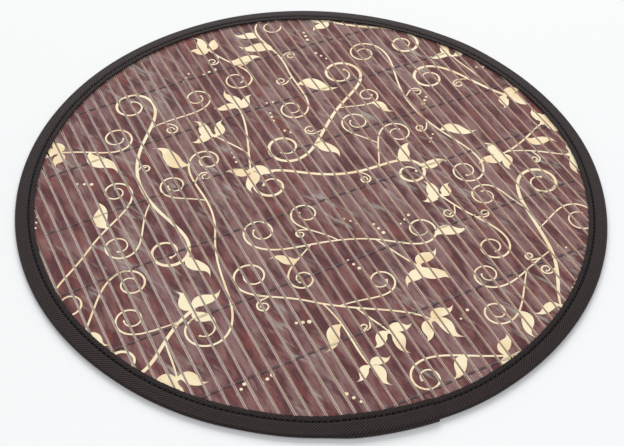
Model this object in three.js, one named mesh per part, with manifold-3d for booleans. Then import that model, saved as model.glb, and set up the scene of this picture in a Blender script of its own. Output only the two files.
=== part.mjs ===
// Round bamboo placemat, in millimetres with +Z up.
// Flat bamboo slats lie side by side along Y. Seven rows of twined thread hold them
// together, and a tape is folded over their ends all round the rim and sewn down.
// The mat lies flat: the origin is at its middle, and the tape's underside is at Z = 0.

import * as THREE from 'three';
import { mergeVertices } from 'three/addons/utils/BufferGeometryUtils.js';
import Module from 'manifold-3d';

const wasm = await Module();
wasm.setup();

// Rim and clearance.
const MAT_RADIUS = 190;
const CLEARANCE = 0.3;

// Slats.
const SLAT_PITCH = 7.45;
const SLAT_WIDTH = 6.5;
const SLAT_THICKNESS = 1.3;
const SLAT_CHAMFER = 0.2;
const SLATS_EACH_SIDE = 25;
const MIDDLE_SLAT_X = -1.4;
const DISC_SIDES = 240;

// Tape.
const TAPE_THICKNESS = 1;
const TAPE_COVER = 12;
const TAPE_FOLD_RADIUS = 1.2;
const STITCH_INSET = 8;
const STITCH_GROOVE_DEPTH = 0.35;
const STITCH_GROOVE_HALF_WIDTH = 1.1;
const INNER_EDGE_ROUNDING = 0.4;
const TAPE_STATIONS = 120;

// Lap, where the tape's end is sewn over its beginning. Angles are in degrees
// from +X towards +Y.
const LAP_START_ANGLE = 248;
const LAP_END_ANGLE = 264.5;
const LAP_START_SPREAD = 1.5;
const LAP_END_GAP = 0.3;
const LAP_RISE_OUTWARD = 1.2;
const LAP_RISE_UPWARD = 0.7;

// The cut rim isn't a true circle: each row is a swell or a hollow of the edge.
const RIM_SWELLS = [
  { angle: 26, spread: 6, rise: 0.6 },
  { angle: 50, spread: 14, rise: -0.35 },
  { angle: 82, spread: 10, rise: 0.15 },
  { angle: 120, spread: 14, rise: 0.15 },
  { angle: 205, spread: 9, rise: -0.2 },
  { angle: 232, spread: 6, rise: -0.35 },
  { angle: 272, spread: 7, rise: 0.45 },
  { angle: 306, spread: 22, rise: -0.35 },
  { angle: 348, spread: 10, rise: 0.4 },
];
const RIM_SWELL_LIMIT = 0.5;

// Thread rows, each a pair of threads twined round every slat.
const THREAD_ROW_Y = [133, 84.3, 35.4, -16.4, -68.2, -118.6, -169.9];
const THREAD_WIDTH = 0.9;
const THREAD_THICKNESS = 0.5;
const THREAD_SHORTEST_TAIL = 1;

// Heights that follow from the layers: tape, slat, tape, each a clearance apart.
const SLAT_BOTTOM = TAPE_THICKNESS + CLEARANCE;
const SLAT_TOP = SLAT_BOTTOM + SLAT_THICKNESS;
const RIM_TOP = SLAT_TOP + CLEARANCE + TAPE_THICKNESS;
const TAPE_INNER_RADIUS = MAT_RADIUS - TAPE_COVER;
const TAPE_WALL_RADIUS = MAT_RADIUS - TAPE_THICKNESS;
const SLAT_DISC_RADIUS = TAPE_WALL_RADIUS - RIM_SWELL_LIMIT - CLEARANCE;
const THREAD_END_RADIUS = TAPE_INNER_RADIUS - RIM_SWELL_LIMIT - CLEARANCE;

const bamboo = { color: 0x6b4745, roughness: 0.45, metalness: 0 };
const twinedThread = { color: 0x33222a, roughness: 0.85, metalness: 0 };
const twillTape = { color: 0x3c2c26, roughness: 0.9, metalness: 0 };

const placemat = new THREE.Group();
placemat.name = 'bamboo_placemat';

function addPiece(name, geometry, finish) {
  const mesh = new THREE.Mesh(geometry, new THREE.MeshStandardMaterial(finish));
  mesh.name = name;
  placemat.add(mesh);
}

function toSolid(geometry) {
  const bare = geometry.clone();
  bare.deleteAttribute('normal');
  bare.deleteAttribute('uv');
  const merged = mergeVertices(bare, 1e-5);
  return new wasm.Manifold(new wasm.Mesh({
    numProp: 3,
    vertProperties: new Float32Array(merged.attributes.position.array),
    triVerts: new Uint32Array(merged.index.array),
  }));
}

function fromSolid(solid) {
  const mesh = solid.getMesh();
  const geometry = new THREE.BufferGeometry();
  geometry.setAttribute('position', new THREE.BufferAttribute(mesh.vertProperties, 3));
  geometry.setIndex(new THREE.BufferAttribute(mesh.triVerts, 1));
  geometry.computeVertexNormals();
  return geometry;
}

function outline(points) {
  return new THREE.Shape(points.map(([x, z]) => new THREE.Vector2(x, z)));
}

// Extrudes an outline drawn in X and Z along Y, centred on y.
function extrudeAlongY(shape, length, y) {
  const geometry = new THREE.ExtrudeGeometry(shape, { depth: length, bevelEnabled: false });
  geometry.rotateX(Math.PI / 2);
  geometry.translate(0, y + length / 2, 0);
  return geometry;
}

function slatX(index) {
  return MIDDLE_SLAT_X + index * SLAT_PITCH;
}

// A slat's cross-section: a flat strip with its long edges broken.
function slatSection(x) {
  const left = x - SLAT_WIDTH / 2;
  const right = x + SLAT_WIDTH / 2;
  return outline([
    [left + SLAT_CHAMFER, SLAT_BOTTOM],
    [right - SLAT_CHAMFER, SLAT_BOTTOM],
    [right, SLAT_BOTTOM + SLAT_CHAMFER],
    [right, SLAT_TOP - SLAT_CHAMFER],
    [right - SLAT_CHAMFER, SLAT_TOP],
    [left + SLAT_CHAMFER, SLAT_TOP],
    [left, SLAT_TOP - SLAT_CHAMFER],
    [left, SLAT_BOTTOM + SLAT_CHAMFER],
  ]);
}

// The slats are woven long and then cut to a round, so every slat's ends lie on one disc.
function addSlats() {
  const disc = new THREE.CylinderGeometry(
    SLAT_DISC_RADIUS, SLAT_DISC_RADIUS, 2 * RIM_TOP, DISC_SIDES);
  disc.rotateX(Math.PI / 2);
  const cutter = toSolid(disc);
  for (let index = -SLATS_EACH_SIDE; index <= SLATS_EACH_SIDE; index += 1) {
    const strip = extrudeAlongY(slatSection(slatX(index)), 2 * MAT_RADIUS, 0);
    const slat = toSolid(strip).intersect(cutter);
    const number = String(index + SLATS_EACH_SIDE + 1).padStart(2, '0');
    addPiece(`slat_${number}`, fromSolid(slat), bamboo);
  }
}

// The windows that the slats pass through, a clearance larger than each slat all round.
function slatWindows() {
  const width = SLAT_WIDTH + 2 * CLEARANCE;
  const height = SLAT_THICKNESS + 2 * CLEARANCE;
  const windows = [];
  for (let index = -SLATS_EACH_SIDE; index <= SLATS_EACH_SIDE; index += 1) {
    const opening = new THREE.BoxGeometry(width, 2 * MAT_RADIUS, height);
    opening.translate(slatX(index), 0, (SLAT_BOTTOM + SLAT_TOP) / 2);
    windows.push(toSolid(opening));
  }
  return windows.reduce((joined, opening) => joined.add(opening));
}

// A row's end stays clear of the nearest crossing, which lies midway between two slats.
function rowEnd(x) {
  const gap = Math.floor((x - MIDDLE_SLAT_X) / SLAT_PITCH) + 0.5;
  const crossing = MIDDLE_SLAT_X + gap * SLAT_PITCH;
  if (Math.abs(x - crossing) >= THREAD_SHORTEST_TAIL) return x;
  return crossing - Math.sign(x) * THREAD_SHORTEST_TAIL;
}

// One twined pair: a run over the slats, a run under them, and a crossing in each gap.
// Both runs go on past the last crossing and stop short of the tape's inner edge.
function threadRow(y, windows) {
  const reach = Math.sqrt(THREAD_END_RADIUS ** 2 - (Math.abs(y) + THREAD_WIDTH / 2) ** 2);
  const left = rowEnd(-reach);
  const right = rowEnd(reach);
  const height = SLAT_THICKNESS + 2 * (CLEARANCE + THREAD_THICKNESS);
  const bar = new THREE.BoxGeometry(right - left, THREAD_WIDTH, height);
  bar.translate((left + right) / 2, y, (SLAT_BOTTOM + SLAT_TOP) / 2);
  return fromSolid(toSolid(bar).subtract(windows));
}

function addThreadRows() {
  const windows = slatWindows();
  THREAD_ROW_Y.forEach((y, row) => {
    addPiece(`thread_row_${row + 1}`, threadRow(y, windows), twinedThread);
  });
}

// The tape's folded cross-section as radius and height: flat underneath, round at the
// fold, with a groove where it is sewn and a rounded inner edge.
function tapeSection() {
  const foldCentre = MAT_RADIUS - TAPE_FOLD_RADIUS;
  const foldMiddle = foldCentre + TAPE_FOLD_RADIUS * Math.SQRT1_2;
  const foldDrop = TAPE_FOLD_RADIUS * (1 - Math.SQRT1_2);
  const stitchRadius = MAT_RADIUS - STITCH_INSET;
  return [
    [TAPE_INNER_RADIUS, 0],
    [foldCentre, 0],
    [foldMiddle, foldDrop],
    [MAT_RADIUS, TAPE_FOLD_RADIUS],
    [MAT_RADIUS, RIM_TOP - TAPE_FOLD_RADIUS],
    [foldMiddle, RIM_TOP - foldDrop],
    [foldCentre, RIM_TOP],
    [stitchRadius + STITCH_GROOVE_HALF_WIDTH, RIM_TOP],
    [stitchRadius, RIM_TOP - STITCH_GROOVE_DEPTH],
    [stitchRadius - STITCH_GROOVE_HALF_WIDTH, RIM_TOP],
    [TAPE_INNER_RADIUS + INNER_EDGE_ROUNDING, RIM_TOP],
    [TAPE_INNER_RADIUS, RIM_TOP - INNER_EDGE_ROUNDING],
    [TAPE_INNER_RADIUS, SLAT_TOP + CLEARANCE],
    [TAPE_WALL_RADIUS, SLAT_TOP + CLEARANCE],
    [TAPE_WALL_RADIUS, TAPE_THICKNESS],
    [TAPE_INNER_RADIUS, TAPE_THICKNESS],
    [TAPE_INNER_RADIUS, 0],
  ].map(([radius, height]) => new THREE.Vector2(radius, height));
}

function angleBetween(angle, other) {
  return THREE.MathUtils.euclideanModulo(angle - other + 180, 360) - 180;
}

function rimSwell(angle) {
  return RIM_SWELLS.reduce((sum, swell) => {
    const away = angleBetween(angle, swell.angle) / swell.spread;
    return sum + swell.rise * Math.exp(-away * away);
  }, 0);
}

// The lap's share of its full rise: it grows over the tape's beginning and ends at once.
function lapShare(angle) {
  if (angle > LAP_END_ANGLE) return 0;
  return THREE.MathUtils.smoothstep(
    angle, LAP_START_ANGLE - LAP_START_SPREAD, LAP_START_ANGLE + LAP_START_SPREAD);
}

// Moves the two stations at the lap's end together, so that the end is a sharp step.
function stationAngle(angle) {
  const spacing = 360 / TAPE_STATIONS;
  const away = angle - LAP_END_ANGLE;
  if (Math.abs(away) > spacing) return angle;
  if (away <= 0) return LAP_END_ANGLE;
  return away < spacing ? LAP_END_ANGLE + LAP_END_GAP : angle;
}

function addTape() {
  const geometry = new THREE.LatheGeometry(tapeSection(), TAPE_STATIONS);
  geometry.rotateX(Math.PI / 2);
  const position = geometry.attributes.position;
  for (let i = 0; i < position.count; i += 1) {
    const radius = Math.hypot(position.getX(i), position.getY(i));
    const height = position.getZ(i);
    const turned = THREE.MathUtils.radToDeg(Math.atan2(position.getY(i), position.getX(i)));
    const angle = stationAngle(THREE.MathUtils.euclideanModulo(turned, 360));
    const lap = lapShare(angle);
    const outward = radius >= MAT_RADIUS - TAPE_FOLD_RADIUS ? lap * LAP_RISE_OUTWARD : 0;
    const upward = height > SLAT_TOP + 2 * CLEARANCE ? lap * LAP_RISE_UPWARD : 0;
    const newRadius = radius + rimSwell(angle) + outward;
    const radians = THREE.MathUtils.degToRad(angle);
    position.setXYZ(
      i, newRadius * Math.cos(radians), newRadius * Math.sin(radians), height + upward);
  }
  geometry.computeVertexNormals();
  addPiece('binding_tape', geometry, twillTape);
}

addSlats();
addThreadRows();
addTape();

export default placemat;
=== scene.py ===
import math
import random
from collections import namedtuple

import bpy
from mathutils import Matrix, Quaternion, Vector, geometry, noise


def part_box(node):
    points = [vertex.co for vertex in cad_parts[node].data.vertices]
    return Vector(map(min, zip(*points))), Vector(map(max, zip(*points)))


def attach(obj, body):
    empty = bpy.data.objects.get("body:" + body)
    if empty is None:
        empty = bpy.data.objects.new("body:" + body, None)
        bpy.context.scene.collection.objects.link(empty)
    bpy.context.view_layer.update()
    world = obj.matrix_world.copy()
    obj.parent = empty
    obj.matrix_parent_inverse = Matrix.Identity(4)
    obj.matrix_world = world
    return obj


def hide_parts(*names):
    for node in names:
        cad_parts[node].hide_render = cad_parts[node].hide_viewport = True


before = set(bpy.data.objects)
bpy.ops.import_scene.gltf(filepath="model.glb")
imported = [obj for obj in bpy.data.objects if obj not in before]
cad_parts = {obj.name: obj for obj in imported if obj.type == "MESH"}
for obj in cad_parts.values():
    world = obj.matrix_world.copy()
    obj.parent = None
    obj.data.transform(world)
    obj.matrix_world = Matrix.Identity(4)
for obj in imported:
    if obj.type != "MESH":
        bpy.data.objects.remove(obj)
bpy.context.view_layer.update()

MM = 0.001


# Camera
# A normal lens looks down at the mat from its near left side, across the slats.
CAMERA_PLACE = (-229.7, -434.6, 491.0)
CAMERA_AIM = (-14.8, -28.8, 0.0)
CAMERA_ROLL = math.radians(1.94)
CAMERA_LENS = 61.3

bpy.ops.object.select_all(action="DESELECT")
bpy.ops.object.camera_add(location=[MM * value for value in CAMERA_PLACE])
camera = bpy.context.object
camera.name = "photo_camera"
camera.data.lens = CAMERA_LENS
camera.data.sensor_width = 36
camera.rotation_mode = "QUATERNION"
view_line = Vector(CAMERA_AIM) - Vector(CAMERA_PLACE)
level_turn = view_line.to_track_quat("-Z", "Y")
camera.rotation_quaternion = level_turn @ Quaternion((0, 0, 1), CAMERA_ROLL)
bpy.context.scene.camera = camera


# Floor and light
# A plain pale paper lies under the mat. A broad soft light stands behind it and a weaker
# one before it, in a white room.
FLOOR_SIZE = 6.0
FLOOR_COLOR = (0.88, 0.89, 0.89, 1)
FLOOR_CLOUD_COLOR = (0.86, 0.87, 0.88, 1)
ROOM_COLOR = (0.94, 0.97, 1.0, 1)
ROOM_STRENGTH = 0.40


def start_material(name):
    material = bpy.data.materials.new(name)
    material.use_nodes = True
    return material, material.node_tree.nodes["Principled BSDF"]


def set_sockets(material, node, sockets):
    for name, value in sockets.items():
        socket = node.inputs[name]
        if isinstance(value, bpy.types.NodeSocket):
            material.node_tree.links.new(value, socket)
        else:
            socket.default_value = value


def add_node(material, kind, settings=None, **sockets):
    node = material.node_tree.nodes.new(kind)
    for name, value in (settings or {}).items():
        setattr(node, name, value)
    set_sockets(material, node, {name.replace("_", " "): value for name, value in sockets.items()})
    return node


def remap(material, value, low, high, first=0.0, last=1.0):
    node = add_node(material, "ShaderNodeMapRange", {"interpolation_type": "SMOOTHSTEP"})
    for socket, entry in zip(node.inputs, (value, low, high, first, last)):
        if isinstance(entry, bpy.types.NodeSocket):
            material.node_tree.links.new(entry, socket)
        else:
            socket.default_value = entry
    return node.outputs[0]


def mix_colors(material, share, first, second, blend="MIX"):
    node = add_node(material, "ShaderNodeMix", {"data_type": "RGBA", "blend_type": blend})
    for index, entry in ((0, share), (6, first), (7, second)):
        if isinstance(entry, bpy.types.NodeSocket):
            material.node_tree.links.new(entry, node.inputs[index])
        else:
            node.inputs[index].default_value = entry
    return node.outputs[2]


def noise_at(material, vector, scale=1.0, detail=2.0, roughness=0.5):
    node = add_node(
        material, "ShaderNodeTexNoise", Vector=vector, Scale=scale, Detail=detail,
        Roughness=roughness)
    return node.outputs["Fac"]


bpy.ops.object.select_all(action="DESELECT")
bpy.ops.mesh.primitive_plane_add(size=FLOOR_SIZE)
floor = bpy.context.object
floor.name = "pale_floor"
floor_paper, floor_shader = start_material("pale_paper")
floor_place = add_node(floor_paper, "ShaderNodeTexCoord").outputs["Object"]
floor_cloud = noise_at(floor_paper, floor_place, 1.5)
cloud_share = remap(floor_paper, floor_cloud, 0.3, 0.7)
floor_color = mix_colors(floor_paper, cloud_share, FLOOR_COLOR, FLOOR_CLOUD_COLOR)
set_sockets(floor_paper, floor_shader, {"Base Color": floor_color, "Roughness": 0.9})
floor.data.materials.append(floor_paper)

world = bpy.data.worlds.new("white_room")
world.use_nodes = True
world.node_tree.nodes["Background"].inputs["Color"].default_value = ROOM_COLOR
world.node_tree.nodes["Background"].inputs["Strength"].default_value = ROOM_STRENGTH
bpy.context.scene.world = world
bpy.context.scene.view_settings.view_transform = "Standard"


def add_soft_light(name, place, size, power, tint):
    bpy.ops.object.light_add(type="AREA", location=place)
    light = bpy.context.object
    light.name = name
    light.data.shape = "RECTANGLE"
    light.data.size = size[0]
    light.data.size_y = size[1]
    light.data.energy = power
    light.data.color = tint
    light.rotation_euler = (-Vector(place)).to_track_quat("-Z", "Y").to_euler()
    return light


add_soft_light("broad_back_light", (1.3, 3.0, 2.5), (3.8, 2.4), 155, (1.0, 0.99, 0.97))
add_soft_light("near_fill_light", (-0.2, -1.0, 1.3), (1.2, 1.0), 9, (0.99, 0.98, 0.98))


# Slats
# The slats are split bamboo, planed flat, stained dark red-brown on top and varnished.
# Their sawn sides and undersides stay pale. The frame's own slats have the true shape.
SLAT_NAMES = sorted(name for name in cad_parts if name.startswith("slat_"))
MIDDLE_SLAT = SLAT_NAMES[len(SLAT_NAMES) // 2]
slat_low, slat_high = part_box(MIDDLE_SLAT)
NEXT_SLAT = SLAT_NAMES[len(SLAT_NAMES) // 2 + 1]
SLAT_WIDTH = (slat_high.x - slat_low.x) / MM
SLAT_PITCH = (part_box(NEXT_SLAT)[0].x - slat_low.x) / MM
MIDDLE_SLAT_X = (slat_low.x + slat_high.x) / 2 / MM
SLAT_TOP = slat_high.z / MM
SLAT_BOTTOM = slat_low.z / MM
SLAT_CHAMFER = 0.2

STAIN_BROWN = (0.186, 0.074, 0.072, 1)
STAIN_DARK = (0.098, 0.036, 0.040, 1)
STAIN_RED = (0.235, 0.062, 0.050, 1)
STAIN_GREY = (0.270, 0.170, 0.163, 1)
# Painted reflection: the silvery sheen of the varnish, painted into the slats' colour.
PAINTED_SHEEN_SILVER = (0.40, 0.38, 0.34, 1)
PAINTED_SHEEN_LEAN = math.radians(-24)
EDGE_PALE = (0.97, 0.80, 0.73, 1)
EDGE_YELLOW = (0.94, 0.74, 0.57, 1)
RAW_BAMBOO = (0.94, 0.71, 0.60, 1)


def math_node(material, operation, *values):
    node = material.node_tree.nodes.new("ShaderNodeMath")
    node.operation = operation
    for socket, value in zip(node.inputs, values):
        if isinstance(value, bpy.types.NodeSocket):
            material.node_tree.links.new(value, socket)
        else:
            socket.default_value = value
    return node.outputs[0]


def slat_places(material):
    """Gives x, y and z in millimetres, the slat's number and the way across it."""
    place = add_node(material, "ShaderNodeTexCoord").outputs["Object"]
    in_mm = add_node(
        material, "ShaderNodeVectorMath", {"operation": "SCALE"}, Vector=place, Scale=1 / MM)
    split = add_node(material, "ShaderNodeSeparateXYZ", Vector=in_mm.outputs[0]).outputs
    from_middle = math_node(material, "SUBTRACT", split[0], MIDDLE_SLAT_X)
    number = math_node(material, "ROUND", math_node(material, "DIVIDE", from_middle, SLAT_PITCH))
    across = math_node(
        material, "SUBTRACT", from_middle, math_node(material, "MULTIPLY", number, SLAT_PITCH))
    return in_mm.outputs[0], split[0], split[1], split[2], number, across


def vector_of(material, x, y, z):
    node = material.node_tree.nodes.new("ShaderNodeCombineXYZ")
    for socket, value in zip(node.inputs, (x, y, z)):
        if isinstance(value, bpy.types.NodeSocket):
            material.node_tree.links.new(value, socket)
        else:
            socket.default_value = value
    return node.outputs[0]


def scaled(material, value, factor):
    return math_node(material, "MULTIPLY", value, factor)


def add_painted_sheen(bamboo, place, color):
    """Painted reflection: the varnish's silvery sheen, mixed into the colour as streaks leaning
    across the slats.
    """
    leaning = add_node(
        bamboo, "ShaderNodeMapping", Vector=place, Rotation=(0, 0, PAINTED_SHEEN_LEAN)).outputs[0]
    streaks = add_node(
        bamboo, "ShaderNodeMapping", Vector=leaning, Scale=(0.30, 0.055, 1)).outputs[0]
    painted_sheen_noise = noise_at(bamboo, streaks, 1, 3, 0.6)
    painted_sheen_patches = remap(bamboo, noise_at(bamboo, place, 0.018, 3), 0.44, 0.62, 0.10, 1)
    painted_sheen_share = math_node(
        bamboo, "MULTIPLY", remap(bamboo, painted_sheen_noise, 0.50, 0.72, 0, 0.75), painted_sheen_patches)
    return mix_colors(bamboo, painted_sheen_share, color, PAINTED_SHEEN_SILVER)


def add_pale_edges(bamboo, color, grain, slat_chance, own):
    """The stain worn off each slat's upper edges, and none of it on sides and underside."""
    place, x, y, z, number, across = slat_places(bamboo)
    wander = noise_at(
        bamboo, vector_of(bamboo, own, scaled(bamboo, y, 0.05), 0), 1, 2)
    edge_way = math_node(
        bamboo, "ADD", math_node(bamboo, "ABSOLUTE", across), scaled(bamboo, wander, 0.3))
    edge_start = SLAT_WIDTH / 2 - SLAT_CHAMFER + 0.08
    edge_share = remap(bamboo, edge_way, edge_start, edge_start + 0.14)
    edge_tone = noise_at(bamboo, vector_of(bamboo, own, scaled(bamboo, y, 0.02), 3), 1, 2)
    edge_color = mix_colors(bamboo, remap(bamboo, edge_tone, 0.4, 0.6), EDGE_PALE, EDGE_YELLOW)
    edge_wear = remap(bamboo, slat_chance, 0.1, 0.9, 0.7, 1)
    edge_share = math_node(bamboo, "MULTIPLY", edge_share, edge_wear)
    color = mix_colors(bamboo, edge_share, color, edge_color)

    raw_share = remap(bamboo, z, SLAT_TOP - SLAT_CHAMFER - 0.1, SLAT_TOP - SLAT_CHAMFER + 0.05, 1, 0)
    raw_color = mix_colors(bamboo, remap(bamboo, grain, 0.35, 0.7), RAW_BAMBOO, EDGE_YELLOW)
    return mix_colors(bamboo, raw_share, color, raw_color)


def make_stained_bamboo():
    bamboo, shader = start_material("stained_bamboo")
    place, x, y, z, number, across = slat_places(bamboo)
    slat_chance = add_node(
        bamboo, "ShaderNodeTexWhiteNoise", {"noise_dimensions": "1D"}, W=number).outputs[0]
    own = scaled(bamboo, slat_chance, 90)

    patches = noise_at(
        bamboo, vector_of(bamboo, own, scaled(bamboo, y, 0.045), scaled(bamboo, x, 0.16)), 1, 4, 0.6)
    red_patches = noise_at(
        bamboo, vector_of(bamboo, scaled(bamboo, y, 0.05), own, scaled(bamboo, x, 0.16)), 1, 4, 0.6)
    grain = noise_at(
        bamboo, vector_of(bamboo, scaled(bamboo, x, 1.5), scaled(bamboo, y, 0.07), own), 1, 4, 0.65)
    fibres = noise_at(
        bamboo, vector_of(bamboo, scaled(bamboo, x, 5.0), scaled(bamboo, y, 0.12), own), 1, 2)

    color = mix_colors(bamboo, remap(bamboo, patches, 0.40, 0.58), STAIN_DARK, STAIN_BROWN)
    color = mix_colors(bamboo, remap(bamboo, red_patches, 0.50, 0.72, 0, 0.75), color, STAIN_RED)
    grey_share = remap(bamboo, math_node(bamboo, "ADD", patches, scaled(bamboo, slat_chance, 0.25)),
                       0.52, 0.85, 0, 0.85)
    color = mix_colors(bamboo, grey_share, color, STAIN_GREY)
    color = mix_colors(bamboo, remap(bamboo, grain, 0.42, 0.70, 0, 0.45), color, STAIN_DARK)
    color = mix_colors(bamboo, remap(bamboo, fibres, 0.54, 0.74, 0, 0.4), color, STAIN_GREY)

    # Painted reflection: silvery sheen streaks mixed into the stain's colour.
    color = add_painted_sheen(bamboo, place, color)
    color = add_pale_edges(bamboo, color, grain, slat_chance, own)

    gloss = remap(bamboo, grain, 0.3, 0.7, 0.45, 0.6)
    tilt = math_node(
        bamboo, "MULTIPLY", math_node(bamboo, "SUBTRACT", slat_chance, 0.5), across)
    height = math_node(bamboo, "ADD", scaled(bamboo, tilt, 0.06), scaled(bamboo, grain, 0.10))
    height = math_node(bamboo, "ADD", height, scaled(bamboo, fibres, 0.03))
    bump = add_node(bamboo, "ShaderNodeBump", Height=height, Distance=MM, Strength=0.6)
    set_sockets(bamboo, shader, {
        "Base Color": color, "Roughness": gloss, "Normal": bump.outputs[0],
        "Specular IOR Level": 0.05})
    return bamboo


stained_bamboo = make_stained_bamboo()
for slat_name in SLAT_NAMES:
    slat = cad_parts[slat_name]
    slat.data.materials.clear()
    slat.data.materials.append(stained_bamboo)


# Printed vines
# A cream ink print of leafy scrolls, curls and dots, made on the finished slats, so it breaks
# at every gap. Each vine grows by seeded chance where the ink before it leaves room. Sizes
# are in millimetres, headings in degrees and bends in degrees a millimetre.
INK_THICKNESS = 0.04
INK_STEP = 1.1
INK_REACH = 181.0
SMALLEST_INK_SPOT = 0.01
GROWTH_SEED = 11
GOLDEN_TURN = 137.5
SCROLL_PLACES = 26
SCROLL_SPREAD = 36.0
HEAVY_EVERY = 3
TRIES = 24
CURL_CLOSING = 0.6
CURL_TURNS = 1.05
CURLED_SHARE = 0.4
CURLED_SCROLLS = 0.85
OPEN_RADII = (24, 40)
MOST_BEND = 1.0
SPRIG_LENGTHS = (17, 25)
SPRIG_WIDTHS = (6, 9)
SPRIG_SPREADS = (62, 85)
CAP_LENGTHS = (17, 24)
CAP_WIDTH = 8
INK_CLEARANCE = 4.2
ROOM_CELL = 1.5
ROOM_INSIDE = 0.7

Stroke = namedtuple("Stroke", "line widths")
Pen = namedtuple("Pen", "start middle end")
Growth = namedtuple("Growth", "pen lengths radii joint sway")
HEAVY_SCROLL = Growth(Pen(2.2, 2.1, 0.8), (45, 95), (11, 15), 9, 0)
THIN_SCROLL = Growth(Pen(1.2, 1.3, 0.8), (40, 90), (9, 14), 9, 0)
SIDE_VINE = Growth(Pen(0.8, 1.15, 0.75), (25, 60), (8, 14), 13, 14)
CURLET = Growth(Pen(0.7, 1.1, 0.7), (6, 12), (3.0, 4.8), 8, 14)
JOINT_GAP = 9.0
SIDE_SHARES = (0.1, 0.24, 0.38)
SIDE_TURNS = (28, 50)
LEAF_SHARES = (0.2, 0.36, 0.52)
LEAF_TURNS = (38, 62)
LEAF_LENGTHS = (18, 32)
LEAF_SLIMNESS = 0.35
LEAF_SWAY = 0.09
LEAF_JOINT = 14
LEAF_CHANCE = 0.85
CURLET_CHANCE = 0.3
DOT_PLACES = 420
DOT_SPREAD = 9.2
DOT_ROWS = 24
DOT_STEPS = (3.6, 5.0)
DOT_SIZES = (1.6, 2.8)
INK_CREAM = (0.86, 0.75, 0.50, 1)
INK_AMBER = (0.80, 0.61, 0.35, 1)
INK_WORN = (0.50, 0.34, 0.20, 1)
# Painted shade: the ink is darkened toward each slat's edge, where it turns down into the gap.
INK_GAP_SHADE = (0.48, 0.34, 0.22, 1)

chance = random.Random(GROWTH_SEED)
taken_cells = set()
used_joints = []
drawn_strokes = []


def pointing(heading):
    turn = math.radians(heading)
    return Vector((math.cos(turn), math.sin(turn)))


def cells_round(place, reach):
    """The small squares of the mat within reach of a place."""
    column, row = round(place.x / ROOM_CELL), round(place.y / ROOM_CELL)
    steps = math.ceil(reach / ROOM_CELL)
    near = range(-steps, steps + 1)
    return [(column + i, row + j) for i in near for j in near
            if math.hypot(i, j) * ROOM_CELL <= max(reach, 0.1)]


def has_room(strokes, joint, joint_reach):
    """True where strokes lie on the mat and clear of earlier ink, apart from their joint."""
    places = [place for each in strokes for place in each.line]
    if sum(place.length < INK_REACH for place in places) < ROOM_INSIDE * len(places):
        return False
    for each in strokes:
        for place, width in zip(each.line[::2], each.widths[::2]):
            if joint is not None and (place - joint).length < joint_reach:
                continue
            if any(cell in taken_cells for cell in cells_round(place, width / 2)):
                return False
    return True


def keep_strokes(strokes):
    drawn_strokes.extend(strokes)
    for each in strokes:
        for place, width in zip(each.line, each.widths):
            taken_cells.update(cells_round(place, width / 2 + INK_CLEARANCE))


def vine_line(start, heading, length, bend, radius, side, turns):
    """A line that bends slightly one way and then closes into a curl on its side."""
    place, line = start, [start]
    curl_way = 0.72 * math.tau * radius * turns
    for step in range(round((length + curl_way) / INK_STEP)):
        way = step * INK_STEP
        tight = side * math.degrees(1) / radius
        if way < length:
            turn = bend + (tight - bend) * (way / length) ** 3
        else:
            turn = tight / (1 - CURL_CLOSING * (way - length) / curl_way)
        heading += turn * INK_STEP
        place = place + pointing(heading) * INK_STEP
        line.append(place)
    return line


def place_on(line, share):
    """A place on a line and the heading there."""
    index = min(round(share * (len(line) - 1)), len(line) - 2)
    way = line[index + 1] - line[index]
    return line[index], math.degrees(math.atan2(way.y, way.x))


def pen_stroke(line, pen):
    widths = []
    for index in range(len(line)):
        share = index / (len(line) - 1)
        swell = math.sin(math.pi * share)
        widths.append((pen.start + (pen.end - pen.start) * share) * (1 - swell)
                      + pen.middle * swell)
    return Stroke(line, widths)


def leaf_stroke(base, heading, length, width):
    """A leaf that swells near its stalk and draws out to a swept tip."""
    way = pointing(heading) * length
    sway = Vector((-way.y, way.x)) * chance.choice((-LEAF_SWAY, LEAF_SWAY))
    shares = [index / 18 for index in range(19)]
    line = [base + way * t + sway * math.sin(math.tau * t) for t in shares]
    belly = [t ** 1.2 * (1 - t) ** 2.0 / 0.1204 for t in shares]
    widths = [max(width * swell, 0.9 * (1 - t)) for swell, t in zip(belly, shares)]
    return Stroke(line, widths)


def sprig_strokes(base, heading, length, width):
    """Three leaves from one place, the middle one the longest."""
    spread = chance.uniform(*SPRIG_SPREADS)
    return [
        Stroke([base], [0.4 * width]),
        leaf_stroke(base, heading, length, width),
        leaf_stroke(base, heading + spread, 0.8 * length, 0.9 * width),
        leaf_stroke(base, heading - spread, 0.8 * length, 0.9 * width)]


def grow_vine(start, heading, growth, curled_share):
    """Keeps the first of a few chance vines that has room, and gives its line."""
    for _ in range(TRIES):
        curled = chance.random() < curled_share
        side = chance.choice((-1, 1))
        radius = chance.uniform(*(growth.radii if curled else OPEN_RADII))
        turned = heading + chance.uniform(-1, 1) * growth.sway
        length = chance.uniform(*growth.lengths)
        bend = -side * chance.uniform(0, MOST_BEND)
        line = vine_line(start, turned, length, bend, radius, side, CURL_TURNS if curled else 0)
        strokes = [pen_stroke(line, growth.pen)]
        if curled:
            strokes.append(Stroke([line[-1]], [0.7 + 0.6 * growth.pen.middle]))
        else:
            end, end_heading = place_on(line, 1)
            strokes += sprig_strokes(end, end_heading, chance.uniform(*SPRIG_LENGTHS),
                                     chance.uniform(*SPRIG_WIDTHS))
        if has_room(strokes, start, growth.joint):
            keep_strokes(strokes)
            return line
    return None


def cap_start(start, heading):
    """Leaves over the blunt end of a vine that had no room for its other half."""
    keep_strokes(sprig_strokes(start, heading, chance.uniform(*CAP_LENGTHS), CAP_WIDTH))


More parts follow.
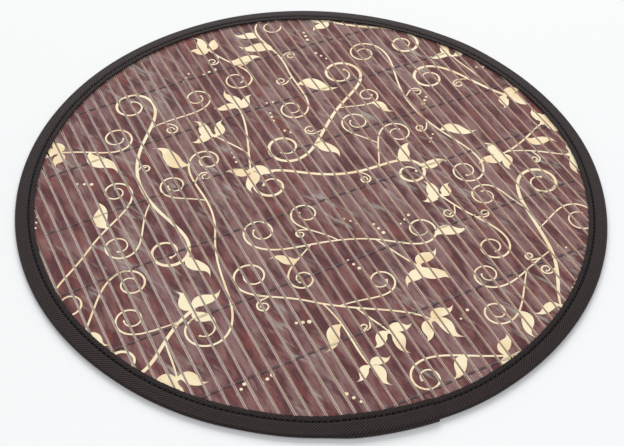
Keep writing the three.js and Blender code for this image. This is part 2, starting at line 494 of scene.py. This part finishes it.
def grow_scrolls():
    """Double scrolls from places spread evenly over the mat, one in a few of them heavy."""
    lines = []
    for number in range(SCROLL_PLACES):
        start = pointing(GOLDEN_TURN * number) * SCROLL_SPREAD * math.sqrt(number + 0.4)
        if any(cell in taken_cells for cell in cells_round(start, 1)):
            continue
        growth = HEAVY_SCROLL if number % HEAVY_EVERY == 0 else THIN_SCROLL
        heading = chance.uniform(0, 360)
        halves = [grow_vine(start, heading + away, growth, CURLED_SCROLLS) for away in (0, 180)]
        lines += [line for line in halves if line]
        if halves[0] and not halves[1]:
            cap_start(start, heading + 180)
        if halves[1] and not halves[0]:
            cap_start(start, heading)
    return lines


def is_free_joint(base):
    """True where nothing else leaves its vine close by."""
    return all((base - joint).length > JOINT_GAP for joint in used_joints)


def grow_sides(lines, growth, likely, curled_share):
    """Vines that leave earlier lines by turns on one side and the other."""
    grown = []
    for line in lines:
        for number, share in enumerate(SIDE_SHARES):
            if chance.random() > likely:
                continue
            base, heading = place_on(line, share)
            if not is_free_joint(base):
                continue
            side = 1 if number % 2 else -1
            leaving = heading + side * chance.uniform(*SIDE_TURNS)
            new = grow_vine(base, leaving, growth, curled_share)
            if new:
                grown.append(new)
                used_joints.append(base)
    return grown


def grow_leaves(lines):
    for line in lines:
        for share in LEAF_SHARES:
            if chance.random() > LEAF_CHANCE:
                continue
            base, heading = place_on(line, share)
            if not is_free_joint(base):
                continue
            side = chance.choice((-1, 1))
            length = chance.uniform(*LEAF_LENGTHS)
            leaving = heading + side * chance.uniform(*LEAF_TURNS)
            leaf = leaf_stroke(base, leaving, length, LEAF_SLIMNESS * length)
            if has_room([leaf], base, LEAF_JOINT):
                keep_strokes([leaf])
                used_joints.append(base)


def grow_dots():
    """Rows of three dots in the places that are still open."""
    rows = 0
    places = [pointing(GOLDEN_TURN * number) * DOT_SPREAD * math.sqrt(number)
              for number in range(DOT_PLACES)]
    chance.shuffle(places)
    for start in places:
        way = pointing(chance.uniform(0, 360)) * chance.uniform(*DOT_STEPS)
        size = chance.uniform(*DOT_SIZES)
        row = [Stroke([start + way * step], [size * 0.85 ** step]) for step in range(3)]
        if rows < DOT_ROWS and has_room(row, None, 0):
            keep_strokes(row)
            rows += 1


def cover_line(line, widths):
    """Covers a line with triangles, as wide as its width at each place."""
    sides = []
    for index, (place, width) in enumerate(zip(line, widths)):
        way = line[min(index + 1, len(line) - 1)] - line[max(index - 1, 0)]
        across = Vector((-way.y, way.x)).normalized() * width / 2
        sides.append((place + across, place - across))
    shapes = []
    for (left, right), (next_left, next_right) in zip(sides, sides[1:]):
        for corners in ((left, right, next_right), (left, next_right, next_left)):
            area = geometry.area_tri(*corners)
            if area > SMALLEST_INK_SPOT:
                turned = (corners[1] - corners[0]).cross(corners[2] - corners[0]) < 0
                shapes.append(corners[::-1] if turned else corners)
    return shapes


def round_dot(middle, radius):
    corners = 12
    rim = [middle + radius * pointing(360 * i / corners) for i in range(corners + 1)]
    return [(middle, start, end) for start, end in zip(rim, rim[1:])]


def draw_print():
    """Grows the vines, the large ones first, and covers every stroke with triangles."""
    scrolls = grow_scrolls()
    sides = grow_sides(scrolls, SIDE_VINE, 0.9, CURLED_SHARE)
    more_sides = grow_sides(sides, SIDE_VINE, 0.7, CURLED_SHARE)
    vines = scrolls + sides + more_sides
    grow_leaves(vines)
    grow_sides(vines, CURLET, CURLET_CHANCE, 1)
    grow_dots()
    shapes = []
    for line, widths in drawn_strokes:
        if len(line) == 1:
            shapes += round_dot(line[0], widths[0] / 2)
        else:
            shapes += cover_line(line, widths)
    return shapes


def print_on_slat(shapes, slat_x):
    """Cuts the drawn shapes to one slat's top and its two broken edges."""
    half = SLAT_WIDTH / 2
    flat = half - SLAT_CHAMFER
    near = [s for s in shapes
            if min(p.x for p in s) < slat_x + half and max(p.x for p in s) > slat_x - half]
    if not near:
        return [], []
    points, faces, edges = [], [], []
    for shape in near:
        faces.append(list(range(len(points), len(points) + len(shape))))
        points += [Vector((p.x, p.y)) for p in shape]
    for cut in (-half, -flat, flat, half):
        edges.append((len(points), len(points) + 1))
        points += [Vector((slat_x + cut, -200)), Vector((slat_x + cut, 200))]
    corners, _, triangles, _, _, sources = geometry.delaunay_2d_cdt(
        points, edges, faces, 0, 1e-5)
    kept = []
    for triangle, source in zip(triangles, sources):
        middle = sum((corners[i] for i in triangle), Vector((0, 0))) / len(triangle)
        if source and abs(middle.x - slat_x) < half and middle.length < INK_REACH:
            kept.append(triangle)
    used = sorted({index for triangle in kept for index in triangle})
    renumber = {index: place for place, index in enumerate(used)}
    raised = []
    for index in used:
        corner = corners[index]
        drop = max(0.0, abs(corner.x - slat_x) - flat)
        raised.append((corner.x * MM, corner.y * MM, (SLAT_TOP + INK_THICKNESS - drop) * MM))
    return raised, [[renumber[index] for index in triangle] for triangle in kept]


def make_ink():
    ink, shader = start_material("cream_ink")
    place, x, y, z, number, across = slat_places(ink)
    grain = noise_at(
        ink, vector_of(ink, scaled(ink, x, 2.4), scaled(ink, y, 0.05), number), 1, 3, 0.6)
    cloud = noise_at(ink, place, 0.06, 3)
    color = mix_colors(ink, remap(ink, cloud, 0.42, 0.68), INK_CREAM, INK_AMBER)
    color = mix_colors(ink, remap(ink, grain, 0.56, 0.78, 0, 0.30), color, INK_WORN)
    # Painted shade: the ink darkens over the chamfer toward the shaded gap between slats.
    gap_shade_share = remap(ink, math_node(ink, "ABSOLUTE", across), 2.95, 3.25, 0, 0.4)
    color = mix_colors(ink, gap_shade_share, color, INK_GAP_SHADE)
    bump = add_node(ink, "ShaderNodeBump", Height=grain, Distance=0.1 * MM, Strength=0.5)
    set_sockets(ink, shader, {
        "Base Color": color, "Roughness": 0.55, "Normal": bump.outputs[0]})
    return ink


drawn_shapes = draw_print()
print_points, print_faces = [], []
for slat_name in SLAT_NAMES:
    low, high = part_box(slat_name)
    number = round(((low.x + high.x) / 2 / MM - MIDDLE_SLAT_X) / SLAT_PITCH)
    slat_points, slat_faces = print_on_slat(drawn_shapes, MIDDLE_SLAT_X + number * SLAT_PITCH)
    start = len(print_points)
    print_points += slat_points
    print_faces += [[start + index for index in face] for face in slat_faces]

bpy.ops.object.select_all(action="DESELECT")
bpy.ops.mesh.primitive_plane_add(size=MM)
printed_vines = bpy.context.object
printed_vines.name = "printed_vines"
printed_vines.data.clear_geometry()
printed_vines.data.from_pydata(print_points, [], print_faces)
bpy.ops.object.mode_set(mode="EDIT")
bpy.ops.mesh.select_all(action="SELECT")
bpy.ops.mesh.normals_make_consistent(inside=False)
bpy.ops.object.mode_set(mode="OBJECT")
ink_body = printed_vines.modifiers.new("ink_body", "SOLIDIFY")
ink_body.thickness = INK_THICKNESS * MM
ink_body.offset = -1
bpy.ops.object.modifier_apply(modifier=ink_body.name)
printed_vines.data.materials.append(make_ink())
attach(printed_vines, "root")


# Twined threads
# Each row is a pair of dark soft threads, twined so that one passes over every slat and
# the other under it. Pulled tight, each pass lies flat on the slat and dives in the gap.
PASS_WIDTH = 1.7
PASS_THICKNESS = 0.5
PASS_SIDES = 10
PASS_RINGS = 10
PASS_DIVE = 0.8
THREAD_DARK = (0.070, 0.038, 0.043, 1)
THREAD_LIGHT = (0.125, 0.078, 0.083, 1)
THREAD_WORN = (0.42, 0.31, 0.27, 1)
THREAD_INKED = (0.74, 0.62, 0.40, 1)
RowBow = namedtuple("RowBow", "rise left_drop right_drop")
ROW_BOWS = [
    RowBow(0.0, 5.0, 2.8), RowBow(-0.8, 4.5, 2.0), RowBow(-0.9, 3.2, 2.1),
    RowBow(0.4, 3.0, 1.6), RowBow(-0.8, 1.5, 0.9), RowBow(-1.8, 1.2, 1.0),
    RowBow(-1.6, 0.5, 0.5),
]
BOW_REACH = 150.0


def make_twine():
    twine, shader = start_material("dark_twine")
    place, x, y, z, number, across = slat_places(twine)
    spiral = math_node(twine, "ADD", scaled(twine, x, 5.5), scaled(twine, y, 7.5))
    plies = math_node(twine, "SINE", spiral)
    fuzz = noise_at(twine, place, 3.0, 3)
    color = mix_colors(twine, remap(twine, plies, -1, 1), THREAD_DARK, THREAD_LIGHT)
    worn = remap(twine, math_node(twine, "ABSOLUTE", across), 2.0, 3.2, 0, 0.9)
    color = mix_colors(twine, worn, color, THREAD_WORN)
    inked = add_node(twine, "ShaderNodeAttribute", {"attribute_name": "inked"}).outputs["Fac"]
    color = mix_colors(twine, remap(twine, inked, 0.25, 0.75, 0, 0.92), color, THREAD_INKED)
    height = math_node(twine, "ADD", plies, fuzz)
    bump = add_node(twine, "ShaderNodeBump", Height=height, Distance=0.1 * MM, Strength=0.7)
    set_sockets(twine, shader, {
        "Base Color": color, "Roughness": 0.8, "Normal": bump.outputs[0]})
    return twine


def add_thread_pass(name, count, first_x, y, side):
    """One pass on a slat, copied along the row; side is 1 above the slats and -1 below."""
    bpy.ops.object.select_all(action="DESELECT")
    bpy.ops.mesh.primitive_uv_sphere_add(segments=PASS_SIDES, ring_count=PASS_RINGS, radius=1)
    thread = bpy.context.object
    thread.name = name
    bpy.ops.object.mode_set(mode="EDIT")
    bpy.ops.mesh.select_all(action="SELECT")
    bpy.ops.transform.rotate(value=math.pi / 2, orient_axis="Y", center_override=(0, 0, 0))
    bpy.ops.transform.resize(value=(SLAT_PITCH / 2 + 0.1, PASS_WIDTH / 2, PASS_THICKNESS / 2))
    bpy.ops.object.mode_set(mode="OBJECT")
    surface = SLAT_TOP if side > 0 else SLAT_BOTTOM
    for vertex in thread.data.vertices:
        share = min(1.0, abs(vertex.co.x) / (SLAT_PITCH / 2))
        dive = PASS_DIVE * share ** 4
        height = vertex.co.z + PASS_THICKNESS / 2 * 0.9 - dive
        vertex.co = Vector((first_x + vertex.co.x, y + vertex.co.y, surface + side * height))
    repeat = thread.modifiers.new("next_slats", "ARRAY")
    repeat.count = count
    repeat.use_relative_offset = False
    repeat.use_constant_offset = True
    repeat.constant_offset_displace = (SLAT_PITCH, 0, 0)
    bpy.ops.object.modifier_apply(modifier=repeat.name)
    return thread


def spots_by_slat(lowest_y, highest_y):
    """The print's spots between two heights of the top view, sorted by slat."""
    found = {}
    for shape in drawn_shapes:
        if min(p.y for p in shape) > highest_y or max(p.y for p in shape) < lowest_y:
            continue
        first = round((min(p.x for p in shape) - MIDDLE_SLAT_X) / SLAT_PITCH)
        last = round((max(p.x for p in shape) - MIDDLE_SLAT_X) / SLAT_PITCH)
        for number in range(first, last + 1):
            found.setdefault(number, []).append(shape)
    return found


def ink_threads(thread):
    """Marks the points of a thread that the print covers; it was printed after twining."""
    heights = [vertex.co.y for vertex in thread.data.vertices]
    spots = spots_by_slat(min(heights), max(heights))
    inked = thread.data.attributes.new("inked", "FLOAT", "POINT")
    for vertex, mark in zip(thread.data.vertices, inked.data):
        place = vertex.co.xy
        number = round((place.x - MIDDLE_SLAT_X) / SLAT_PITCH)
        covered = vertex.co.z > SLAT_TOP and any(
            geometry.intersect_point_tri_2d(place, *shape) for shape in spots.get(number, ()))
        mark.value = 1.0 if covered else 0.0


dark_twine = make_twine()
for row, bow in enumerate(ROW_BOWS, start=1):
    node_name = f"thread_row_{row}"
    row_low, row_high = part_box(node_name)
    row_y = (row_low.y + row_high.y) / 2 / MM
    first_slat = math.ceil((row_low.x / MM + 2.4 - MIDDLE_SLAT_X) / SLAT_PITCH)
    last_slat = math.floor((row_high.x / MM - 2.4 - MIDDLE_SLAT_X) / SLAT_PITCH)
    first_x = MIDDLE_SLAT_X + first_slat * SLAT_PITCH
    count = last_slat - first_slat + 1
    upper = add_thread_pass(f"twined_threads_{row}", count, first_x, row_y, 1)
    lower = add_thread_pass(f"lower_passes_{row}", count, first_x, row_y, -1)
    bpy.ops.object.select_all(action="DESELECT")
    lower.select_set(True)
    upper.select_set(True)
    bpy.context.view_layer.objects.active = upper
    bpy.ops.object.join()
    for vertex in upper.data.vertices:
        drop = bow.left_drop if vertex.co.x < 0 else bow.right_drop
        wander = 0.3 * noise.noise(Vector((vertex.co.x / 22, row * 5.0, 0)))
        vertex.co.y += bow.rise - drop * (vertex.co.x / BOW_REACH) ** 2 + wander
    ink_threads(upper)
    upper.data.transform(Matrix.Scale(MM, 4))
    bpy.ops.object.select_all(action="DESELECT")
    upper.select_set(True)
    bpy.ops.object.shade_smooth()
    bpy.ops.object.mode_set(mode="EDIT")
    bpy.ops.mesh.select_all(action="SELECT")
    bpy.ops.mesh.normals_make_consistent(inside=False)
    bpy.ops.object.mode_set(mode="OBJECT")
    upper.data.materials.append(dark_twine)
    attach(upper, "root")
    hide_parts(node_name)


# Binding tape
# One length of dark brown twill tape, folded over the slats' cut ends and sewn down. Its
# beginning lies under its end, which is cut off square and makes a step at the rim.
MAT_RADIUS = 190.0
RIM_TOP = 3.9
TAPE_THICKNESS = 0.9
TAPE_COVER = 12.0
FOLD_RADIUS = RIM_TOP / 2
STITCH_RADIUS = 181.4
TAPE_FALL = 0.6
TAPE_START_ANGLE = 248.0
TAPE_END_ANGLE = 624.5
LAP_SPREAD = 3.5
LAP_RISE = 1.05
TAPE_STEPS_ALONG = 1390
TAPE_STEPS_ACROSS = 34
STITCH_COUNT = 340
TWILL_VALLEY = (0.004, 0.003, 0.003, 1)
TWILL_RIB = (0.042, 0.028, 0.029, 1)
TWILL_FUZZ = (0.012, 0.009, 0.009, 1)
TWILL_WORN = (0.024, 0.018, 0.019, 1)
# Painted shade: colour for the tape's inner strip beside its raised lip.
TWILL_PAINTED_SHADE = (0.006, 0.005, 0.005, 1)
# Painted shade: near-black colour for the stitch groove in the tape.
TWILL_GROOVE_SHADE = (0.002, 0.002, 0.002, 1)
SHEEN_TINT = (1.0, 0.84, 0.82, 1)
RUN_LENGTH = TAPE_COVER - FOLD_RADIUS
TAPE_WIDTH = 2 * RUN_LENGTH + math.pi * FOLD_RADIUS
TAPE_LENGTH = math.radians(TAPE_END_ANGLE - TAPE_START_ANGLE) * (MAT_RADIUS - TAPE_COVER / 2)

Swell = namedtuple("Swell", "angle spread rise")
RIM_SWELLS = [
    Swell(26, 6, 0.6), Swell(50, 14, -0.35), Swell(82, 10, 0.15), Swell(120, 14, 0.15),
    Swell(205, 9, -0.2), Swell(232, 6, -0.35), Swell(272, 7, 0.45), Swell(306, 22, -0.35),
    Swell(348, 10, 0.4),
]


def rim_swell(angle):
    total = 0.0
    for swell in RIM_SWELLS:
        away = ((angle - swell.angle + 180) % 360 - 180) / swell.spread
        total += swell.rise * math.exp(-away * away)
    return total


def smooth_share(value, low, high):
    share = min(1.0, max(0.0, (value - low) / (high - low)))
    return share * share * (3 - 2 * share)


def folded_place(across):
    """Radius, height and outward direction at a way across the tape, from below to above."""
    if across < RUN_LENGTH:
        return MAT_RADIUS - TAPE_COVER + across, 0.0, (0.0, -1.0)
    if across > TAPE_WIDTH - RUN_LENGTH:
        return MAT_RADIUS - TAPE_COVER + (TAPE_WIDTH - across), RIM_TOP, (0.0, 1.0)
    turn = (across - RUN_LENGTH) / FOLD_RADIUS - math.pi / 2
    out = (math.cos(turn), math.sin(turn))
    centre = MAT_RADIUS - FOLD_RADIUS
    return centre + FOLD_RADIUS * out[0], FOLD_RADIUS + FOLD_RADIUS * out[1], out


def tape_relief(radius, angle, above):
    """How far the sewing draws the tape in and its inner edge stands up."""
    stitch_phase = math.radians(angle) * STITCH_COUNT
    pull = 0.36 + 0.08 * math.cos(stitch_phase)
    groove = pull * math.exp(-((radius - STITCH_RADIUS) / 0.7) ** 2)
    if not above:
        return -0.55 * groove
    puff = 0.10 - (0.10 + TAPE_FALL) * max(0.0, radius - 183.5) / 4.55
    edge_noise = noise.noise(Vector((radius * 0.4, angle * 0.9, 0.0)))
    lip_share = smooth_share(radius, STITCH_RADIUS - 0.3, STITCH_RADIUS - 1.6)
    lip = lip_share * (0.10 + 0.26 * edge_noise)
    return puff + lip - groove


def wrap_tape(along, across):
    """Places a point of the flat tape on the rim, in millimetres."""
    share = along / TAPE_LENGTH
    angle = TAPE_START_ANGLE + (TAPE_END_ANGLE - TAPE_START_ANGLE) * share
    radius, height, out = folded_place(across)
    above = height > RIM_TOP / 2
    is_run = across < RUN_LENGTH or across > TAPE_WIDTH - RUN_LENGTH
    if is_run:
        rise = tape_relief(radius, angle, above)
    else:
        rise = -TAPE_FALL * max(0.0, out[1]) ** 2
    lap_from = TAPE_START_ANGLE + 360 - LAP_SPREAD
    if above or not is_run:
        rise += LAP_RISE * smooth_share(angle, lap_from, lap_from + 2 * LAP_SPREAD)
    ragged = 0.45 * noise.noise(Vector((angle * 1.7, 7.0 if above else 3.0, 0.0)))
    inner_share = smooth_share(radius, STITCH_RADIUS - 1.0, MAT_RADIUS - TAPE_COVER)
    radius += out[0] * rise + rim_swell(angle) + ragged * inner_share
    height += out[1] * rise
    turn = math.radians(angle)
    return Vector((radius * math.cos(turn), radius * math.sin(turn), max(0.0, height)))


def make_twill():
    twill, shader = start_material("brown_twill")
    weave_map = add_node(twill, "ShaderNodeUVMap", {"uv_map": "UVMap"}).outputs[0]
    in_mm = add_node(
        twill, "ShaderNodeMapping", Vector=weave_map, Scale=(TAPE_LENGTH, TAPE_WIDTH, 1)).outputs[0]
    split = add_node(twill, "ShaderNodeSeparateXYZ", Vector=in_mm).outputs
    slant = math_node(twill, "ADD", scaled(twill, split[0], -0.62), scaled(twill, split[1], 0.79))
    waver = scaled(twill, noise_at(twill, in_mm, 0.5, 2), 0.35)
    ribs = math_node(
        twill, "SINE", scaled(twill, math_node(twill, "ADD", slant, waver), math.tau / 1.25))
    yarns = math_node(twill, "SINE", scaled(twill, split[1], math.tau / 0.45))
    fuzz = noise_at(twill, in_mm, 1.6, 4, 0.65)
    worn = noise_at(twill, in_mm, 0.05, 3)
    color = mix_colors(
        twill, remap(twill, ribs, -0.9, 0.9), TWILL_VALLEY, TWILL_RIB)
    color = mix_colors(twill, remap(twill, fuzz, 0.35, 0.75, 0, 0.45), color, TWILL_FUZZ)
    color = mix_colors(twill, remap(twill, worn, 0.4, 0.7, 0, 0.35), color, TWILL_WORN)
    # Painted shade: the upper run is darkened from its inner edge out to the stitch line.
    from_inner = math_node(twill, "SUBTRACT", TAPE_WIDTH, split[1])
    lip = remap(twill, from_inner, 3.6, 4.6, 0.45, 0)
    color = mix_colors(twill, lip, color, TWILL_PAINTED_SHADE)
    # Painted shade: the upper run is darkened along the stitch groove, and its sheen and specular
    # are kept out of the groove.
    seam_way = STITCH_RADIUS - (MAT_RADIUS - TAPE_COVER)
    from_seam = math_node(twill, "ABSOLUTE", math_node(twill, "SUBTRACT", from_inner, seam_way))
    open_share = remap(twill, from_seam, 0.35, 0.8)
    color = mix_colors(twill, open_share, TWILL_GROOVE_SHADE, color)
    height = math_node(twill, "ADD", ribs, scaled(twill, yarns, 0.25))
    height = math_node(twill, "ADD", height, scaled(twill, fuzz, 0.8))
    bump = add_node(twill, "ShaderNodeBump", Height=height, Distance=0.16 * MM, Strength=0.9)
    set_sockets(twill, shader, {
        "Base Color": color, "Roughness": 0.6, "Normal": bump.outputs[0],
        "Sheen Weight": scaled(twill, open_share, 0.08), "Sheen Roughness": 0.45,
        "Sheen Tint": SHEEN_TINT, "Specular Tint": SHEEN_TINT,
        "Specular IOR Level": scaled(twill, open_share, 0.2)})
    return twill


bpy.ops.object.select_all(action="DESELECT")
bpy.ops.mesh.primitive_grid_add(
    x_subdivisions=TAPE_STEPS_ALONG, y_subdivisions=TAPE_STEPS_ACROSS, size=1)
binding = bpy.context.object
binding.name = "binding"
for vertex in binding.data.vertices:
    along = (vertex.co.x + 0.5) * TAPE_LENGTH
    across = (vertex.co.y + 0.5) * TAPE_WIDTH
    vertex.co = wrap_tape(along, across) * MM
cloth_body = binding.modifiers.new("cloth_body", "SOLIDIFY")
cloth_body.thickness = TAPE_THICKNESS * MM
cloth_body.offset = -1
bpy.ops.object.modifier_apply(modifier=cloth_body.name)
bpy.ops.object.shade_smooth_by_angle(angle=math.radians(50))
binding.data.materials.append(make_twill())
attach(binding, "root")
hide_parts("binding_tape")


# Sewing
# One row of dark lockstitches holds the tape's two edges through the slats, 8.6 mm in from
# the rim. The thread is drawn tight, so it lies sunk in the tape above and below.
STITCH_LENGTH = 2.9
STITCH_WIDTH = 0.48
STITCH_LIFT = 0.12
SEWING_DARK = (0.003, 0.003, 0.003, 1)
SEWING_LIGHT = (0.012, 0.010, 0.010, 1)


def make_sewing_thread():
    thread, shader = start_material("sewing_thread")
    place = add_node(thread, "ShaderNodeTexCoord").outputs["Object"]
    fuzz = noise_at(thread, place, 2500, 3)
    color = mix_colors(thread, remap(thread, fuzz, 0.3, 0.7), SEWING_DARK, SEWING_LIGHT)
    bump = add_node(thread, "ShaderNodeBump", Height=fuzz, Distance=0.1 * MM, Strength=0.5)
    set_sockets(thread, shader, {
        "Base Color": color, "Roughness": 0.6, "Normal": bump.outputs[0]})
    return thread


def add_stitch_row(name, height):
    bpy.ops.object.select_all(action="DESELECT")
    bpy.ops.mesh.primitive_uv_sphere_add(segments=6, ring_count=5, radius=1)
    stitches = bpy.context.object
    stitches.name = name
    bpy.ops.object.mode_set(mode="EDIT")
    bpy.ops.mesh.select_all(action="SELECT")
    bpy.ops.transform.rotate(value=math.pi / 2, orient_axis="Y", center_override=(0, 0, 0))
    bpy.ops.transform.resize(
        value=(STITCH_LENGTH / 2 * MM, STITCH_WIDTH / 2 * MM, STITCH_WIDTH / 2 * MM))
    bpy.ops.object.mode_set(mode="OBJECT")
    first = stitches.data.copy()
    parts = []
    for index in range(STITCH_COUNT):
        angle = math.tau * (index + 0.5) / STITCH_COUNT
        degrees = math.degrees(angle)
        radius = STITCH_RADIUS + rim_swell(degrees)
        lap = smooth_share(degrees, TAPE_START_ANGLE - LAP_SPREAD, TAPE_START_ANGLE + LAP_SPREAD)
        lap *= degrees < TAPE_END_ANGLE - 360
        lift = LAP_RISE * lap if height > RIM_TOP / 2 else 0.0
        copy = first.copy()
        copy.transform(
            Matrix.Translation((radius * math.cos(angle) * MM, radius * math.sin(angle) * MM,
                                (height + lift) * MM))
            @ Matrix.Rotation(angle + math.pi / 2, 4, "Z"))
        part = bpy.data.objects.new(f"{name}_{index}", copy)
        bpy.context.scene.collection.objects.link(part)
        parts.append(part)
    stitches.data.clear_geometry()
    bpy.ops.object.select_all(action="DESELECT")
    for part in parts:
        part.select_set(True)
    stitches.select_set(True)
    bpy.context.view_layer.objects.active = stitches
    bpy.ops.object.join()
    bpy.ops.object.shade_smooth()
    return stitches


sewing_thread = make_sewing_thread()
groove_height = RIM_TOP - 0.4
stitch_rows = (
    add_stitch_row("stitches_above", groove_height + STITCH_LIFT),
    add_stitch_row("stitches_below", STITCH_WIDTH / 2 + 0.02),
)
for stitch_row in stitch_rows:
    stitch_row.data.materials.append(sewing_thread)
    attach(stitch_row, "root")
